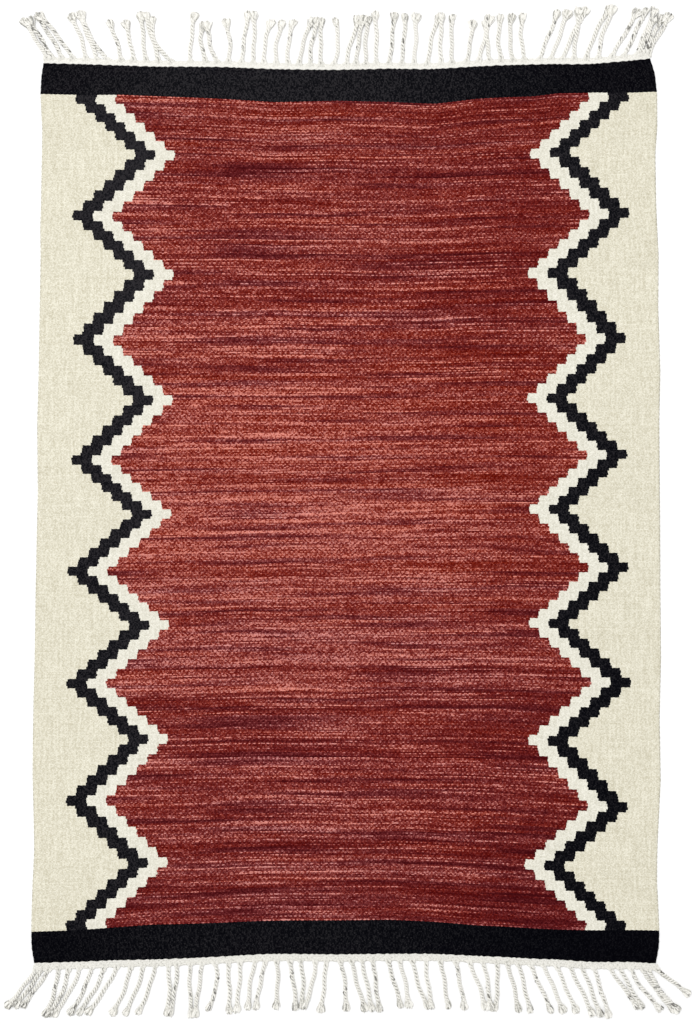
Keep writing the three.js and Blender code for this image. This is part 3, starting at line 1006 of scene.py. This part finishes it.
def plied_cords_tree():
    """Strands side by side at the heading, then twisted into two plies, then open in a brush of fibres."""
    tree, given, made = new_group(
        "plied_cords",
        "GeometryNodeTree",
        {
            "Geometry": ["Guide"],
            "Int": ["Strands", "Fibres", "Fibre Points", "Seed"],
            "Float": [
                "Step", "Strand Radius", "Ply Offset", "Strand Offset", "Flatness", "Ply Pitch",
                "Strand Pitch", "Root Length", "Root Spread", "Tuft Length", "Tuft Spread", "Tuft Depth",
                "Fibre Radius", "Lightness",
            ],
            "Material": ["Yarn"],
        },
        {"Geometry": ["Fringe"]},
    )
    along, reach = (point_value(tree, name) for name in ("along", "reach"))
    cord = calc("ROUND", tree, point_value(tree, "cord"))
    cords = apply(tree, "GeometryNodeMeshToCurve", {"Mesh": given["Guide"]})
    tuft_start = minus(tree, reach, given["Tuft Length"])
    tip_open = ramp_over(tree, along, tuft_start, reach)
    spread = times(tree, given["Tuft Spread"], chance(tree, *SPREAD_RANGE, cord, seed=5))

    step = {"Curve": cords, "Length": given["Step"]}
    line = apply(tree, "GeometryNodeResampleCurve", step, mode="LENGTH")
    line, strand = copy_lines(tree, line, given["Strands"])
    strand_number = times_plus(tree, cord, given["Strands"], strand)
    ply = calc("FLOOR", tree, over(tree, strand, STRANDS_PER_PLY))
    start_turn = times_plus(tree, ply, 0.5, chance(tree, 0, 1, cord, given["Seed"]))
    ply_pitch = times(tree, given["Ply Pitch"], chance(tree, *PITCH_RANGE, cord, seed=15))
    ply_turn = plus(tree, over(tree, along, ply_pitch), start_turn)
    ply_angle = times(tree, ply_turn, math.tau)
    strand_turn = minus(tree, strand, over(tree, along, given["Strand Pitch"]))
    strand_angle = times(tree, strand_turn, math.tau / STRANDS_PER_PLY)
    root_open = minus(tree, 1, ramp_over(tree, along, 0.0, given["Root Length"]))
    plied = minus(tree, minus(tree, 1, tip_open), root_open)

    def twisted(wave):
        """Place of a strand in the twist, along one of the two ways across the cord."""
        ply_part = times(tree, calc(wave, tree, ply_angle), given["Ply Offset"])
        strand_part = times(tree, calc(wave, tree, strand_angle), given["Strand Offset"])
        return times(tree, plus(tree, ply_part, strand_part), plied)

    seat = minus(tree, over(tree, strand, (STRANDS - 1) / 2), 1)
    root_side = times(tree, times(tree, seat, given["Root Spread"]), root_open)
    tuft_side = times(tree, times(tree, seat, spread), tip_open)
    side = plus(tree, twisted("COSINE"), plus(tree, tuft_side, root_side))
    rise = times(tree, twisted("SINE"), given["Flatness"])
    push = times(tree, chance(tree, *STRAND_ENDS, strand_number, seed=13), tip_open)
    position = apply(tree, "GeometryNodeInputPosition")
    line = keep_value(tree, line, "middle", position, "FLOAT_VECTOR")
    line = keep_value(tree, line, "root_open", root_open)
    free = minus(tree, 1, root_open)
    # A random number per strand, which picks the strands that the material paints dark as shade.
    strand_tone = times(tree, chance(tree, 0, 1, strand_number, seed=31), free)
    line = keep_value(tree, line, "strand_tone", strand_tone)
    line = move(tree, line, offset_on_line(tree, side, rise, push))
    strands = sweep(tree, line, round_section(tree, 5, given["Strand Radius"]))
    # Painted shade in the grooves: the nearer a point of a strand lies to the cord's middle, the darker
    # its tone.
    from_middle = vector_calc("SUBTRACT", tree, position, point_value(tree, "middle", "FLOAT_VECTOR"))
    outside = over(tree, vector_calc("LENGTH", tree, from_middle), CORD_RADIUS)
    outside = times_plus(tree, outside, GROOVE_CONTRAST, given["Lightness"])
    outside = calc("MINIMUM", tree, outside, 1.0)
    to_root = times(tree, minus(tree, 0.5, outside), point_value(tree, "root_open"))
    strands = keep_value(tree, strands, "outside", plus(tree, outside, to_root))

    cut = {"Curve": cords, "Start": over(tree, tuft_start, reach)}
    line = apply(tree, "GeometryNodeTrimCurve", cut, mode="FACTOR")
    line = apply(tree, "GeometryNodeResampleCurve", {"Curve": line, "Count": given["Fibre Points"]})
    line, fibre = copy_lines(tree, line, given["Fibres"])
    fibre_number = times_plus(tree, cord, given["Fibres"], fibre)
    width = times_plus(tree, spread, tip_open, BRUSH_WAIST)
    seat = chance(tree, -1, 1, fibre_number, seed=7)
    side = times(tree, seat, width)
    rise = times(tree, chance(tree, -1, 1, fibre_number, seed=9), given["Tuft Depth"])
    shorter = times(tree, times(tree, seat, seat), -BRUSH_ROUNDING)
    push = plus(tree, shorter, chance(tree, *FIBRE_ENDS, fibre_number, seed=11))
    push = times(tree, push, tip_open)
    line = keep_value(tree, line, "strand_tone", chance(tree, 0, 1, fibre_number, seed=17))
    line = move(tree, line, offset_on_line(tree, side, rise, push))
    fibres = sweep(tree, line, round_section(tree, 4, given["Fibre Radius"]))
    fibres = keep_value(tree, fibres, "outside", chance(tree, *FIBRE_TONES, fibre_number, seed=19))

    join = tree.nodes.new("GeometryNodeJoinGeometry")
    for part in (strands, fibres):
        tree.links.new(part, join.inputs[0])
    fringe = join.outputs[0]
    for name in ("middle", "root_open", "reach", "along"):
        fringe = apply(tree, "GeometryNodeRemoveAttribute", {"Geometry": fringe, "Name": name})
    finish_tree(tree, fringe, given["Yarn"], made["Fringe"])
    return tree


PLIED_CORDS = plied_cords_tree()
for end, groups, tuft_spread, seed in (("far", FAR_GROUPS, 0.0076, 3), ("near", NEAR_GROUPS, 0.0060, 4)):
    fringe = grow(cord_guides("cord_fringe_" + end, groups, *ENDS[end]), PLIED_CORDS, {
        "Step": 0.0026,
        "Strands": STRANDS,
        "Strand Radius": STRAND_RADIUS,
        "Ply Offset": PLY_OFFSET,
        "Strand Offset": STRAND_OFFSET,
        "Flatness": CORD_FLATNESS,
        "Ply Pitch": 0.014,
        "Strand Pitch": 0.009,
        "Root Length": 0.020,
        "Root Spread": 0.0075,
        "Tuft Length": 0.028,
        "Tuft Spread": tuft_spread,
        "Tuft Depth": 0.0018,
        "Fibres": 14,
        "Fibre Points": 7,
        "Fibre Radius": 0.0010,
        "Lightness": CORD_LIGHTNESS[end],
        "Seed": seed,
        "Yarn": COTTON,
    })
    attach(fringe, "root")
    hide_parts("fringe_" + end)

# Floor
# A plain pale studio floor, wide enough to fill every view.

FLOOR_HALF = 40.0
FLOOR_LIGHTNESS = 0.95
floor_mesh = bpy.data.meshes.new("floor")
floor_corners = [(x * FLOOR_HALF, y * FLOOR_HALF, 0) for x, y in ((-1, -1), (1, -1), (1, 1), (-1, 1))]
floor_mesh.from_pydata(floor_corners, [], [(0, 1, 2, 3)])
floor = add_object("floor", floor_mesh)
paper, _, paper_shader = new_material("pale_floor")
paper_shader.inputs["Base Color"].default_value = grey(FLOOR_LIGHTNESS)
floor_mesh.materials.append(paper)

# Light and camera
# Even white light all round, with one large soft lamp high up on the far left.
# The camera looks straight down on the middle of the picture.

WORLD_LIGHT = 0.66
world = bpy.data.worlds.new("studio")
world.use_nodes = True
world.node_tree.nodes["Background"].inputs["Color"].default_value = (1, 1, 1, 1)
world.node_tree.nodes["Background"].inputs["Strength"].default_value = WORLD_LIGHT
bpy.context.scene.world = world

LAMP_PLACE = Vector((-1.6, 1.6, 9.0))
LAMP_SIZE = 3.0
lamp_slant = LAMP_PLACE.z / LAMP_PLACE.length
lamp_data = bpy.data.lights.new("soft_lamp", "AREA")
lamp_data.shape = "DISK"
lamp_data.size = LAMP_SIZE
lamp_data.energy = (STUDIO_LIGHT - WORLD_LIGHT) * math.pi**2 * LAMP_PLACE.length_squared / lamp_slant
lamp = add_object("soft_lamp", lamp_data)
lamp.location = LAMP_PLACE
lamp.rotation_euler = LAMP_PLACE.to_track_quat("Z", "Y").to_euler()

PICTURE_HEIGHT = 2.299
PICTURE_CENTRE = (-0.0003, -0.0045)
LENS = 85.0
SENSOR = 36.0
camera_data = bpy.data.cameras.new("camera")
camera_data.lens = LENS
camera_data.sensor_width = SENSOR
camera = add_object("camera", camera_data)
camera.location = (*PICTURE_CENTRE, PICTURE_HEIGHT * LENS / SENSOR + CLOTH_THICKNESS)
bpy.context.scene.camera = camera
bpy.context.scene.view_settings.view_transform = "Standard"
